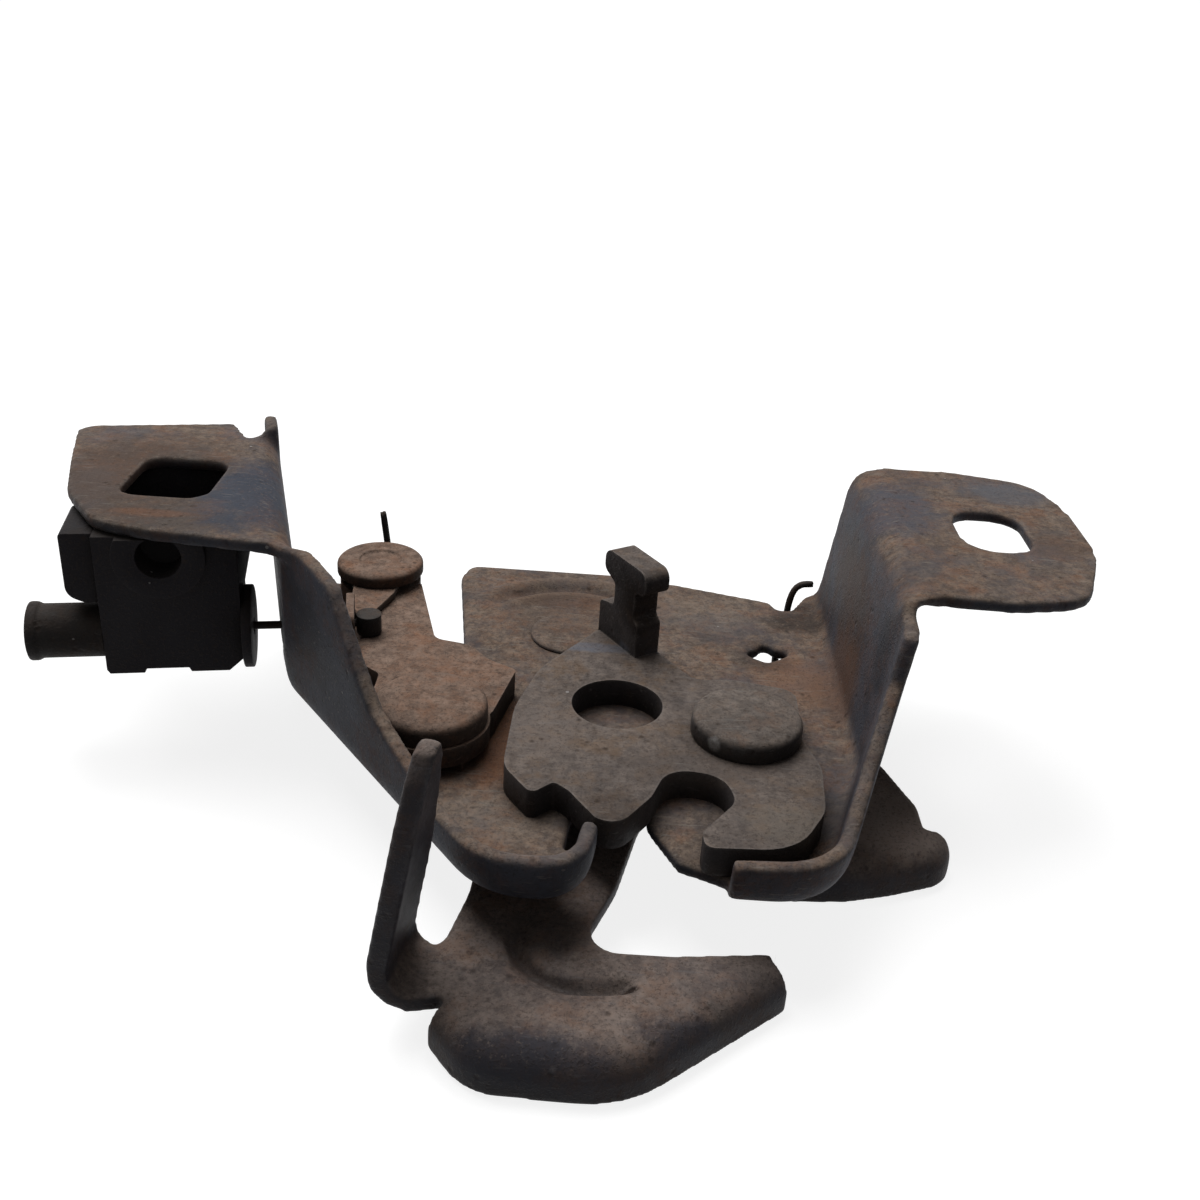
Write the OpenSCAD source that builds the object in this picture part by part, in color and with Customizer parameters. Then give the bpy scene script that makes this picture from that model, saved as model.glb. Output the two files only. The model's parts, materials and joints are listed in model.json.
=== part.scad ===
// Hood latch: a folded sheet bracket that carries a rotary claw, a release pawl pulled by a
// wire cable, and a sprung safety catch under the plate.
// Lengths are in millimetres. The plan of the latch is drawn with the claw's round hole at
// x = 0, y = 0 and the plate's upper face at z = 0, and then moved as one, so that the middle
// between the two mounting slots, on the flanges' seating face, is the origin.
// The striker comes in along +Y. Angles are drawn with the latch open.

/* [Bracket sheet] */
// Thickness of the bracket sheet
sheet_t = 2.5; // [2:0.1:3]
// Inside radius of the sheet's folds
fold_r = 2.5; // [1.5:0.1:3]
// Height of the flanges' seating face above the plate
flange_h = 29; // [26:0.5:36]
// Height of the low rims round the front lobes above the plate
rim_h = 6.5; // [5.5:0.5:9]
// Outward lean of the right wing, in degrees
wing_lean = 7; // [4:0.5:8]

/* [Mounting slots] */
// Distance between the two mounting slots along X
slot_span = 145; // [140:0.5:150]
// Place of the right slot's middle along X
slot_right_x = 64.5; // [63:0.5:66]
// Place of both slots' middles along Y
slot_y = 27.5; // [26:0.5:29]
// Width of the left slot along X
slot_left_w = 15; // [11:0.5:16]
// Width of the right slot along X
slot_right_w = 12; // [9:0.5:14]
// Length of both slots along Y
slot_len = 17; // [14:0.5:18]

/* [Claw] */
// Thickness of the claw plate
claw_t = 5; // [4:0.25:6]
// Radius of the round hole in the claw
claw_hole_r = 7.6; // [6:0.1:8]
// Diameter of the claw's rivet shank
claw_pin_d = 10; // [8:0.5:12]
// Diameter of the claw rivet's head
claw_head_d = 18; // [15:0.5:19]
// Height of the upright tab above the claw
tab_h = 17; // [12:0.5:18]
// Sheet thickness of the upright tab
tab_t = 5; // [3:0.25:5]

/* [Pawl] */
// Thickness of the pawl plate
pawl_t = 5; // [4:0.25:6]
// Radius of the pawl's round boss
pawl_boss_r = 9.6; // [9:0.1:9.7]
// Diameter of the pawl's rivet shank
pawl_pin_d = 9; // [7:0.5:11]
// Diameter of the pawl rivet's head
pawl_head_d = 18.4; // [15:0.2:19]
// Diameter of the pin through the pawl's arm
arm_pin_d = 6; // [4:0.5:7]
// Diameter of the disc on the pawl's arm
arm_disc_d = 16.4; // [12:0.2:17]
// Thickness of the disc on the pawl's arm
arm_disc_t = 2.6; // [1.5:0.1:3]

/* [Rivets] */
// Height of the claw and pawl rivet heads
head_h = 4; // [3:0.25:5]
// Radial running clearance of the moving plates on their rivets
pin_gap = 0.05; // [0.03:0.01:0.08]
// Diameter of the safety catch's flush rivet head
flush_head_d = 15.4; // [13:0.2:15.6]
// Diameter of the safety catch's rivet shank
catch_pin_d = 9; // [7:0.5:11]

/* [Safety catch] */
// Sheet thickness of the safety catch
catch_t = 3; // [2.5:0.1:3.4]
// Gap between the bracket's plate and the safety catch
catch_drop = 5.7; // [5.7:0.1:7]
// Outside diameter of the sleeve that keeps that gap
spacer_d = 13; // [12:0.5:14]
// Thickness of the washer under the safety catch
washer_t = 0.8; // [0.5:0.1:1.5]
// Depth of the catch's rolled edge below its underside
roll_drop = 4.5; // [3:0.5:6]
// Height of the upright finger blade above the catch
blade_h = 38; // [27:0.5:40]

/* [Cable and clamp] */
// Height of the cable's axis above the plate
cable_z = 7; // [6.8:0.1:7.4]
// Diameter of the inner wire
wire_d = 1.4; // [1:0.1:1.8]
// Outside diameter of the cable ferrule
ferrule_d = 9.4; // [8:0.2:11]
// Bore of the ferrule that takes the cable's outer tube
ferrule_bore_d = 6; // [5:0.2:7]
// Length of the ferrule outside the clamp
ferrule_len = 12.5; // [8:0.5:16]
// Width of the clamp housing along the cable
clamp_w = 23; // [20:0.5:25]
// Depth of the clamp housing behind the cable
clamp_front = 6; // [5:0.5:8]
// Reach of the clamp housing's deck under the left slot
clamp_back = 28; // [27:0.5:30]
// Height of that deck above the cable
clamp_deck = 6; // [4:0.5:8]
// Sheet thickness of the hook on the pawl's arm
hook_t = 1.5; // [1:0.1:1.6]
// Diameter of the nipple on the end of the wire
nipple_d = 4.4; // [4:0.1:4.8]

/* [Springs] */
// Wire diameter of the springs
spring_d = 1.4; // [1:0.1:1.4]
// Turns of the coil round each rivet
spring_turns = 1.5; // [1:0.5:1.5]

/* [Hidden] */
$fn = 64;
cut = 1;
fold_n = 3;
section_n = 4 * (fold_n + 1) + 2;

// Height of the bevel that takes the pawl's boss past the wall's fold
fold_clear = 1.6;
// Height of the small bevels on a wall's cut edge
edge_crown = 0.3;

// Plan places of the pivots and of the cable
claw_pivot = [21, -6.5];
pawl_pivot = [-30, -8];
catch_pivot = [-9, 31.5];
arm_end = [-46.8, 40.6];
nipple_at = [-44.9, 18.6];
cable_turn = 11;
clamp_run = 21.5;

// The right slot's place is set, and the left one lies a span away
slot_left_x = slot_right_x - slot_span;

// Heights that follow from the sheets
catch_top = -sheet_t - catch_drop;
catch_low = catch_top - catch_t;
coil_top = -sheet_t - spring_d / 2 - 0.2;
coil_pitch = spring_d + 0.1;
coil_low = coil_top - coil_pitch * spring_turns - spring_d / 2;
peen_h = 1.2;
peen_out = 1.5;

// Point at the height y of the plan, on the line from a to b
function on_line(a, b, y) = [a.x + (b.x - a.x) * (y - a.y) / (b.y - a.y), y];

// Outer faces of the two walls from the rear to the front, each point as
// [x, y, corner radius, height of the wall's top, 1 where it carries the flange]
left_ends = [[-72.5, 57.5], [-57.2, 6.5], [-18.3, -45]];
left_wall = concat([[left_ends[0].x, left_ends[0].y, 0, flange_h + 1.6, 0]],
    [for (q = [[50.6, flange_h + 1.6, 0], [49.4, flange_h, 1]])
        concat(on_line(left_ends[0], left_ends[1], q[0]), [0, q[1], q[2]])],
    [[left_ends[1].x, left_ends[1].y, 10, flange_h, 1]],
    [for (q = [[4.4, flange_h, 1], [0.5, flange_h, 0], [-6.5, flange_h - 0.8, 0], [-8.5, 27.6, 0],
        [-12, 22.5, 0], [-16, 17, 0], [-19.5, 13, 0], [-24, 11, 0], [-29, 9, 0], [-33, rim_h, 0]])
        concat(on_line(left_ends[1], left_ends[2], q[0]), [0, q[1], q[2]])],
    [[left_ends[2].x, left_ends[2].y, 13.6, rim_h, 0], [-3.2, -44.4, 7.4, rim_h, 0],
        [-2, -33.5, 0, rim_h - 0.5, 0]]);
right_ends = [[43, 55], [42.6, -8], [32.3, -42]];
right_wall = concat([[right_ends[0].x, right_ends[0].y, 0, flange_h, 1]],
    [for (q = [[1.5, flange_h, 1], [-2.5, flange_h, 0]])
        concat(on_line(right_ends[0], right_ends[1], q[0]), [0, q[1], q[2]])],
    [[right_ends[1].x, right_ends[1].y, 24, 27.5, 0]],
    [for (q = [[-13, 20], [-19, 15], [-24, 11.2], [-31, 8]])
        concat(on_line(right_ends[1], right_ends[2], q[0]), [0, q[1], 0])],
    [[right_ends[2].x, right_ends[2].y, 12, rim_h, 0], [16.8, -42, 0, rim_h - 0.5, 0]]);

// Outer edges of the flanges from the rear to the front, and plan outlines, as
// [x, y, corner radius]
left_flange = [[-73.2, 48.8, 0], [-75.4, 50.4, 1], [-77.6, 56.2, 1.5], [-106.3, 49.6, 3.5],
    [-101, 32, 20], [-96.5, 19, 12], [-88, 7.4, 8], [-78, 5, 20], [-61, 3.2, 8], [-56.2, 2.9, 0]];
right_flange = [[52, 56.6, 0], [62, 55.6, 12], [77.5, 52, 9], [81, 40, 16], [81, 20, 16],
    [74.6, 2, 8.5], [62, -0.8, 8], [50.8, 0, 0]];
throat = [[-6, -24, 3], [-4.4, -18, 6], [-4.4, -8, 4.6], [5.2, -8, 4.6], [5.2, -25, 8],
    [9.8, -34, 12]];
plate_rear = [[34.4, 48.2, 1.4], [31.6, 48.2, 1.2], [30.6, 51.4, 1.2], [13, 56.2, 20],
    [0, 59.2, 20], [-31.2, 59.4, 2.2], [-32.8, 54, 3], [-28.6, 25, 2], [-31.4, 21.5, 3],
    [-36.5, 23, 3], [-40.5, 46.6, 3], [-60, 47.6, 4]];
claw_outline = [[-4.4, 24.6, 2], [0.2, 28.6, 2.6], [8.6, 16, 0], [13, 9.6, 3], [20.5, 10.2, 8],
    [30.6, 8, 3.4], [30.2, -7.4, 6], [32.4, -15, 10], [31.6, -26.5, 9], [26.4, -36.2, 9],
    [13.2, -36.9, 1.6], [12.9, -33.4, 2], [18.4, -25.4, 4], [16.8, -18.9, 5.2], [8.2, -17.9, 4.6],
    [5.6, -25.6, 5], [0.8, -33, 3.2], [-2.6, -31.6, 2], [-6.8, -25.4, 1.2],
    [-9.1, -23.4, 0.8], [-12.4, -26.7, 1.2], [-17.2, -20, 7], [-16.9, -3, 20], [-13.6, 10.2, 16]];
pawl_outline = [[-48.6, 39, 0], [-49, 29, 6], [-47.2, 22.6, 2], [-43.6, 21.4, 0.8],
    [-43.4, 17.2, 0.8], [-46.3, 16, 1.2], [-46, 9, 3], [-40.6, 4.6, 1.5], [-40.6, -3, 2],
    [-37.6, -9, 0], [-24, -15.4, 0], [-20.2, -4.6, 5], [-17.6, 8.9, 1.2], [-22.5, 11.6, 6],
    [-26.6, 16.6, 5], [-33, 18, 2.5], [-36.2, 30, 20], [-38.6, 39, 0]];

// Rolled edges of the safety catch and the rest of its outline
hook_edge = [[-23.4, -57.3, 0], [-17.6, -65, 10], [3.5, -65.8, 17], [26.2, -46.6, 0]];
grip_edge = [[20, -22.8, 0], [38, -23, 40], [57.2, -15.4, 6.2], [56, -10, 0]];
hook_mouth = [[24.6, -42.6, 1.6], [10, -44.4, 20], [-4, -44.6, 4.2], [1.4, -30, 20],
    [4.8, -14, 10], [8, -8, 3], [15, -15.5, 6]];
catch_rear = [[51.6, -5, 3], [46, 11, 16], [24, 28, 20], [4, 44, 12], [-12, 44.4, 9],
    [-22, 38, 12], [-19.4, -10, 60], [-20.6, -34, 10], [-22.6, -43.6, 2.5]];
press_line = [[-13, -36, 0], [-11.6, -52.6, 7], [4, -51, 0]];
// Foot of the finger blade, as [x, y, how far its top lies under the full height there]
blade_line = [for (q = [[-29.4, -43.6, 20], [-29.9, -45.2, 9], [-30.4, -46.9, 2.8],
    [-30.9, -48.9, 0], [-31.5, -51.8, 0.6], [-31.8, -54, 4.4], [-31.95, -55.6, 12]])
    [q.x, q.y, 0, blade_h - q[2], 0]];

// Points of an arc
function arc_pts(c, r, a0, a1, n) =
    [for (i = [0 : n]) let (a = a0 + (a1 - a0) * i / n) [c.x + r * cos(a), c.y + r * sin(a)]];
function heading(a, b) = atan2(b.y - a.y, b.x - a.x);
function wrap(a) = a > 180 ? a - 360 : a < -180 ? a + 360 : a;
function flat(p) = [p.x, p.y];
function ahead(h) = [cos(h), sin(h)];
function leftward(h) = [-sin(h), cos(h)];
function backwards(p) = [for (i = [len(p) - 1 : -1 : 0]) p[i]];

// Fillet at the point p between its neighbours a and b
function fillet_at(a, p, b, step) =
    let (h = heading(a, p), t = wrap(heading(p, b) - h), s = sign(t), r = p[2],
        start = flat(p) - r * tan(abs(t) / 2) * ahead(h), c = start + s * r * leftward(h))
    r < 0.05 || abs(t) < 1 ? [flat(p)]
        : arc_pts(c, r, h - s * 90, h - s * 90 + t, max(2, ceil(abs(t) / step)));

// Closed outline with a fillet at every point that has a radius, and the same for an open line
function rounded(p) = let (n = len(p))
    [for (i = [0 : n - 1]) each fillet_at(p[(i + n - 1) % n], p[i], p[(i + 1) % n], 10)];
function eased(p) = let (n = len(p))
    [for (i = [0 : n - 1]) each i == 0 || i == n - 1 ? [flat(p[i])]
        : fillet_at(p[i - 1], p[i], p[i + 1], 18)];

// Turn, tangent length and arc centre at a corner of an open path
function inner(p, i) = i > 0 && i < len(p) - 1;
function head_in(p, i) = i == 0 ? heading(p[0], p[1]) : heading(p[i - 1], p[i]);
function turn_at(p, i) = inner(p, i) ? wrap(heading(p[i], p[i + 1]) - head_in(p, i)) : 0;
function trim_at(p, i) = p[i][2] * tan(abs(turn_at(p, i)) / 2);
function centre_at(p, i) = flat(p[i]) - trim_at(p, i) * ahead(head_in(p, i))
    + sign(turn_at(p, i)) * p[i][2] * leftward(head_in(p, i));
function steps_at(p, i) = p[i][2] < 0.05 || abs(turn_at(p, i)) < 1 ? 0
    : ceil(abs(turn_at(p, i)) / 12);

// Line that runs beside an open path, u to its right (side 1) or to its left (side -1)
function beside(p, side, u) =
    [for (i = [0 : len(p) - 1]) let (h = head_in(p, i), t = turn_at(p, i), s = sign(t))
        each steps_at(p, i) == 0 ? [flat(p[i]) - side * u * leftward(h)]
            : arc_pts(centre_at(p, i), p[i][2] + s * side * u, h - s * 90, h - s * 90 + t,
                steps_at(p, i))];

// Places along a line of points: how far each point is, and the point at a real index
function distances(line) = let (n = len(line))
    [for (i = 0, d = 0; i < n; d = d + (i < n - 1 ? norm(line[i + 1] - line[i]) : 0), i = i + 1) d];
function at(line, s) = let (i = min(floor(s), len(line) - 2)) line[i] + (s - i) * (line[i + 1] - line[i]);

// Stations of a folded edge: its section is set upright at the real index s of the path, and the
// flange's outer edge goes to the plan point q where that is given. Each entry is [s, section, q].
function stations(p, side, entries) =
    let (base = beside(p, side, 0), off = beside(p, side, 1), edge = 2 * (fold_n + 1))
    [for (e = entries) let (a = at(base, e[0]), b = at(off, e[0]) - a)
        [for (i = [0 : section_n - 1]) let (w = e[1][i],
            q = !is_undef(e[2]) && (i == edge || i == edge + 1) ? e[2] : a + w.x * b) [q.x, q.y, w.y]]];
function whole(p, side, section) =
    stations(p, side, [for (i = [0 : len(beside(p, side, 0)) - 1]) [i, section]]);

// Stations of a plain cut edge: the sheet's bottom and top at each plan point
function plain(points, t) =
    [for (q = points) [for (i = [0 : section_n - 1]) [q.x, q.y, i == section_n - 1 ? 0 : -t]]];

// Triangles of a flat outline, cut off one corner at a time. An outline goes anticlockwise.
function area(a, b, c) = (b.x - a.x) * (c.y - a.y) - (b.y - a.y) * (c.x - a.x);
function covers(a, b, c, q) = area(a, b, q) > -0.0001 && area(b, c, q) > -0.0001 && area(c, a, q) > -0.0001;
function free(f, ids, i) =
    let (n = len(ids), u = ids[(i + n - 1) % n], v = ids[i], w = ids[(i + 1) % n])
    area(f[u], f[v], f[w]) > 0.01
        && len([for (k = ids) if (k != u && k != v && k != w && covers(f[u], f[v], f[w], f[k])) 1]) == 0;
function corner(f, ids, i) = i >= len(ids) ? 0 : free(f, ids, i) ? i : corner(f, ids, i + 1);
function triangles(f, ids) = let (n = len(ids))
    n == 3 ? [ids] : let (i = corner(f, ids, 0))
        concat([[ids[(i + n - 1) % n], ids[i], ids[(i + 1) % n]]],
            triangles(f, [for (k = [i + 1 : i + n - 1]) ids[k % n]]));

// Sheet with its top at z = 0, from the runs of stations round its edge, anticlockwise. Each run is
// [1, stations] for a folded edge or [0, stations] for a plain one. A folded section lists the
// sheet's lower and outer face, then its upper and inner one: point i is across from m - 1 - i.
module folded_sheet(runs) {
    m = section_n;
    all = [for (r = runs) each r[1]];
    n = len(all);
    goes_on = [for (r = runs) each [for (i = [0 : len(r[1]) - 1]) r[0] == 1 && i < len(r[1]) - 1]];
    sides = [for (j = [0 : n - 1]) let (a = j * m, b = (j + 1) % n * m)
        each goes_on[j]
            ? [for (i = [0 : m - 2]) each [[a + i, a + i + 1, b + i + 1], [a + i, b + i + 1, b + i]]]
            : [[a, a + m - 1, b + m - 1], [a, b + m - 1, b]]];
    ends = [for (j = [0 : n - 1]) for (i = [0 : m / 2 - 2])
        let (a = j * m + i, b = a + 1, c = j * m + m - 2 - i, d = c + 1, before = goes_on[(j + n - 1) % n])
        each goes_on[j] && !before ? [[d, c, b], [d, b, a]]
            : !goes_on[j] && before ? [[a, b, c], [a, c, d]] : []];
    flats = triangles([for (st = all) flat(st[0])], [for (j = [0 : n - 1]) j]);
    low = [for (f = flats) f * m];
    high = [for (f = flats) [f[2], f[1], f[0]] * m + [m - 1, m - 1, m - 1]];
    polyhedron([for (st = all) each st], concat(sides, ends, low, high), convexity = 12);
}

// Section of a wall folded up from the floor: sheet t, inside radius r, leaning outwards. Its top
// is a plain edge at the height h, or (f = 1) a second fold with the start of a flange.
function wall_section(t, r, lean, h, f) =
    let (out = r + t, foot = [out * (cos(lean) - 1), r - out * sin(lean)],
        c = fold_centre(t, r, lean, h), span = min(fold_r, (h - foot.y) / 2))
    concat(arc_pts([-out, r], out, -90, -lean, fold_n),
        f == 1 ? concat(arc_pts(c, r, 180 - lean, 90, fold_n), [[c.x + t, h - t], [c.x + t, h]],
            arc_pts(c, out, 90, 180 - lean, fold_n))
        : let (low = h - edge_crown, top = [foot.x + (low - foot.y) * tan(lean), low],
            down = span / fold_n * [tan(lean), 1], wide = [t / cos(lean), 0], up = [0, edge_crown])
            concat([for (k = [0 : fold_n]) top - (fold_n - k) * down],
                [top - wide / 5 + up, top - wide / 1.25 + up],
                [for (k = [0 : fold_n]) top - wide - k * down]),
        arc_pts([-out, r], r, -lean, -90, fold_n));

// Centre of the second fold
function fold_centre(t, r, lean, h) =
    let (out = r + t, foot = [out * (cos(lean) - 1), r - out * sin(lean)],
        rise = (h - out + r * sin(lean) - foot.y) / cos(lean))
    [foot.x + rise * sin(lean) + r * cos(lean), h - out];

// Entries for the stations of a wall's path: the plain ones as they are, and those of the flange
// set by its outer edge, a station for each of its points, spread along the wall by length
function wall_entries(p, side, lean, edge) =
    let (info = [for (i = [0 : len(p) - 1]) for (k = [0 : steps_at(p, i)]) [p[i][3], p[i][4]]],
        with = [for (i = [0 : len(info) - 1]) if (info[i][1] == 1) i],
        first = with[0], last = with[len(with) - 1], d = distances(beside(p, side, 0)),
        where = [for (i = [0 : len(d) - 1]) [d[i], i]], e = distances(edge),
        full = e[len(e) - 1], s = [for (x = e) lookup(d[first] + (d[last] - d[first]) * x / full, where)])
    concat([for (i = [0 : 1 : first - 1]) [i, wall_section(sheet_t, fold_r, lean, info[i][0], 0)]],
        first == 0 ? [[0, wall_section(sheet_t, fold_r, lean, flange_h, 1)]] : [],
        [for (i = [(first == 0 ? 1 : 0) : len(edge) - 1])
            [s[i], wall_section(sheet_t, fold_r, lean, flange_h, 1), edge[i]]],
        [for (i = [last + 1 : len(info) - 1]) [i, wall_section(sheet_t, fold_r, lean, info[i][0], 0)]]);

// Section of an edge that is rolled down from the sheet
function rolled(t, r, drop) = let (out = r + t, n = 2 * fold_n + 1)
    concat(arc_pts([-out, -out], r, 90, 0, n), [[-t, -t - drop], [0, -t - drop]],
        arc_pts([-out, -out], out, 0, 90, n));

// Round wire along a line of points: rings carried along with no twist
function unit(v) = v / norm(v);
function along(p, i) = unit(p[min(i + 1, len(p) - 1)] - p[max(i - 1, 0)]);
function rings(p, i, n) = let (t = along(p, i), m = unit(n - (n * t) * t))
    concat([[m, cross(t, m)]], i < len(p) - 1 ? rings(p, i + 1, m) : []);
module wire(p, d, start_side) {
    k = 8;
    f = rings(p, 0, start_side);
    points = [for (i = [0 : len(p) - 1]) for (j = [0 : k - 1])
        p[i] + d / 2 * (cos(360 * j / k) * f[i][0] + sin(360 * j / k) * f[i][1])];
    walls = [for (i = [0 : len(p) - 2]) for (j = [0 : k - 1])
        [i * k + j, (i + 1) * k + j, (i + 1) * k + (j + 1) % k, i * k + (j + 1) % k]];
    ends = [[for (j = [0 : k - 1]) j], [for (j = [k - 1 : -1 : 0]) (len(p) - 1) * k + j]];
    polyhedron(points, concat(ends, walls), convexity = 6);
}
// Turns of a coil round the point c, from the angle a0, going down
function coil(c, r, a0, turns, z) = let (n = ceil(abs(turns) * 18))
    [for (i = [0 : n]) let (a = a0 + 360 * turns * i / n)
        [c.x + r * cos(a), c.y + r * sin(a), z - coil_pitch * abs(turns) * i / n]];

module in_frame() {
    translate([-(slot_left_x + slot_right_x) / 2, -slot_y, -flange_h]) children();
}

module plate(outline, z, t) {
    translate([0, 0, z]) linear_extrude(t) polygon(outline);
}

module post(at, z, d, h) {
    translate([at.x, at.y, z]) cylinder(d = d, h = h);
}

// Rounded slot through a flange
module slot_cut(x, w, r) {
    plate(rounded([[x - w / 2, slot_y - slot_len / 2, r], [x + w / 2, slot_y - slot_len / 2, r],
        [x + w / 2, slot_y + slot_len / 2, r], [x - w / 2, slot_y + slot_len / 2, r]]),
        flange_h - sheet_t - cut, sheet_t + 2 * cut);
}

// Along the cable: x runs towards the pawl, from the clamp's right face
module on_cable(from_nipple) {
    translate([nipple_at.x, nipple_at.y, cable_z]) rotate([0, 0, cable_turn])
        translate([-from_nipple, 0, 0]) children();
}
module tube_x(x0, x1, d) {
    translate([x0, 0, 0]) rotate([0, 90, 0]) cylinder(d = d, h = x1 - x0);
}

module base_plate() {
    left = stations(left_wall, 1, wall_entries(left_wall, 1, 0, eased(left_flange)));
    right = stations(right_wall, -1, wall_entries(right_wall, -1, wing_lean, eased(right_flange)));
    deep = sheet_t + 2 * cut;
    color([0.24, 0.21, 0.2]) in_frame() difference() {
        folded_sheet([[1, left], [0, plain(eased(throat), sheet_t)], [1, backwards(right)],
            [0, plain(eased(plate_rear), sheet_t)]]);
        post(claw_pivot, -sheet_t - cut, claw_pin_d, deep);
        post(pawl_pivot, -sheet_t - cut, pawl_pin_d, deep);
        post(catch_pivot, -sheet_t - cut, catch_pin_d, deep);
        slot_cut(slot_left_x, slot_left_w, 3);
        slot_cut(slot_right_x, slot_right_w, 5);
        plate(rounded([[23.4, 29.6, 1], [28, 26.6, 1], [33.6, 31, 0.8], [29.6, 31.6, 0.8],
            [28, 34.6, 0.8], [26.6, 31.4, 0.8]]), -sheet_t - cut, deep);
        on_cable(clamp_run) tube_x(1, clamp_run - 8, 7.5);
        translate([0, 0, -0.7]) linear_extrude(cut) arc_band(catch_pivot, 19.6, 3, 52, 128);
    }
}

// Flat band along an arc
module arc_band(c, r, w, a0, a1) {
    polygon(concat(arc_pts(c, r + w / 2, a0, a1, 12), arc_pts(c, r - w / 2, a1, a0, 12)));
}

module claw() {
    color([0.27, 0.24, 0.23]) in_frame() difference() {
        union() {
            plate(rounded(claw_outline), 0, claw_t);
            upright_tab();
        }
        post([0, 0], -cut, 2 * claw_hole_r, claw_t + 2 * cut);
        post(claw_pivot, -cut, claw_pin_d + 2 * pin_gap, claw_t + 2 * cut);
    }
}

// T-shaped tab, bent up from the claw's rear edge
module upright_tab() {
    foot = 12;
    shoulder = 6.2;
    translate([0.2, 28.4, 0]) rotate([0, 0, -56]) difference() {
        translate([0, 0, claw_t]) rotate([90, 0, 0]) linear_extrude(tab_t) polygon(rounded([
            [0, -claw_t + 1, 0], [foot, -claw_t + 1, 0], [foot, shoulder, 1.2], [10.6, shoulder + 1, 1],
            [10.6, tab_h - 4.6, 1], [13.6, tab_h - 4.4, 1.5], [13.6, tab_h, 2],
            [0.8, tab_h, 2], [0.8, tab_h - 4, 1.5], [4.4, tab_h - 5.6, 1],
            [4.4, shoulder + 1, 1], [0, shoulder, 1]]));
        translate([-cut, -tab_t - cut, -cut]) cube([foot + 5, tab_t + 2 * cut, 1 + cut]);
    }
}

module pawl() {
    color([0.3, 0.24, 0.21]) in_frame() difference() {
        union() {
            plate(rounded(pawl_outline), 0, pawl_t);
            translate([pawl_pivot.x, pawl_pivot.y, 0]) rotate_extrude() polygon([[0, 0],
                [pawl_boss_r - 1.4 * fold_clear, 0], [pawl_boss_r, fold_clear], [pawl_boss_r, pawl_t],
                [0, pawl_t]]);
            post(arm_end, 0, arm_disc_d - 1, pawl_t);
        }
        post(pawl_pivot, -cut, pawl_pin_d + 2 * pin_gap, pawl_t + 2 * cut);
        post(arm_end, -cut, arm_pin_d, pawl_t + 2 * cut);
    }
}

// Rivet: domed head, shank through the plate, and a peened end under it
module rivet(at, plate_top, pin_d, head_d, head) {
    edge = min(1.4, head / 2.5);
    peen_d = pin_d + 2 * peen_out;
    low_z = coil_low - 0.25 - peen_h;
    translate([at.x, at.y, 0]) rotate_extrude() polygon(concat(
        [[0, low_z], [peen_d / 2 - peen_h / 2, low_z], [peen_d / 2, low_z + peen_h / 2],
            [peen_d / 2, low_z + peen_h], [pin_d / 2, low_z + peen_h], [pin_d / 2, plate_top],
            [head_d / 2, plate_top]],
        arc_pts([head_d / 2 - edge, plate_top + head - edge - 0.3], edge, 0, 75, 3),
        [[0, plate_top + head]]));
}

module claw_rivet() {
    color([0.25, 0.25, 0.27]) in_frame() rivet(claw_pivot, claw_t, claw_pin_d, claw_head_d,
        head_h);
}

module pawl_rivet() {
    color([0.29, 0.24, 0.21]) in_frame() rivet(pawl_pivot, pawl_t, pawl_pin_d, pawl_head_d,
        head_h);
}

module safety_rivet() {
    color([0.27, 0.22, 0.2]) in_frame() translate([catch_pivot.x, catch_pivot.y, 0])
        rotate_extrude() polygon([[0, catch_low - washer_t - 2.4], [5, catch_low - washer_t - 2.4],
            [7, catch_low - washer_t - 1], [7, catch_low - washer_t],
            [catch_pin_d / 2, catch_low - washer_t], [catch_pin_d / 2, 0], [flush_head_d / 2, 0],
            [flush_head_d / 2, 0.5], [flush_head_d / 2 - 0.6, 0.9], [0, 1]]);
}

// Sleeve that keeps the safety catch below the coils and the peened rivet ends
module catch_spacer() {
    color([0.33, 0.3, 0.28]) in_frame() difference() {
        post(catch_pivot, catch_top, spacer_d, catch_drop);
        post(catch_pivot, catch_top - cut, catch_pin_d, catch_drop + 2 * cut);
    }
}

module catch_washer() {
    color([0.33, 0.3, 0.28]) in_frame() difference() {
        post(catch_pivot, catch_low - washer_t, catch_pin_d + 9, washer_t);
        post(catch_pivot, catch_low - washer_t - cut, catch_pin_d, washer_t + 2 * cut);
    }
}

module safety_catch() {
    fold = rolled(catch_t, 1.5, roll_drop);
    blade = [for (i = [0 : len(blade_line) - 1])
        [i, wall_section(catch_t, 3, -10, blade_line[i][3], 0)]];
    color([0.26, 0.21, 0.19]) in_frame() difference() {
        translate([0, 0, catch_top]) folded_sheet([[1, whole(hook_edge, 1, fold)],
            [0, plain(eased(hook_mouth), catch_t)], [1, whole(grip_edge, 1, fold)],
            [0, plain(eased(catch_rear), catch_t)], [1, stations(blade_line, 1, blade)]]);
        post(catch_pivot, catch_low - cut, catch_pin_d + 2 * pin_gap, catch_t + 2 * cut);
        plate(concat(beside(press_line, 1, 1.5), backwards(beside(press_line, 1, -1.5))),
            catch_top - 0.8, cut);
    }
}

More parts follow.
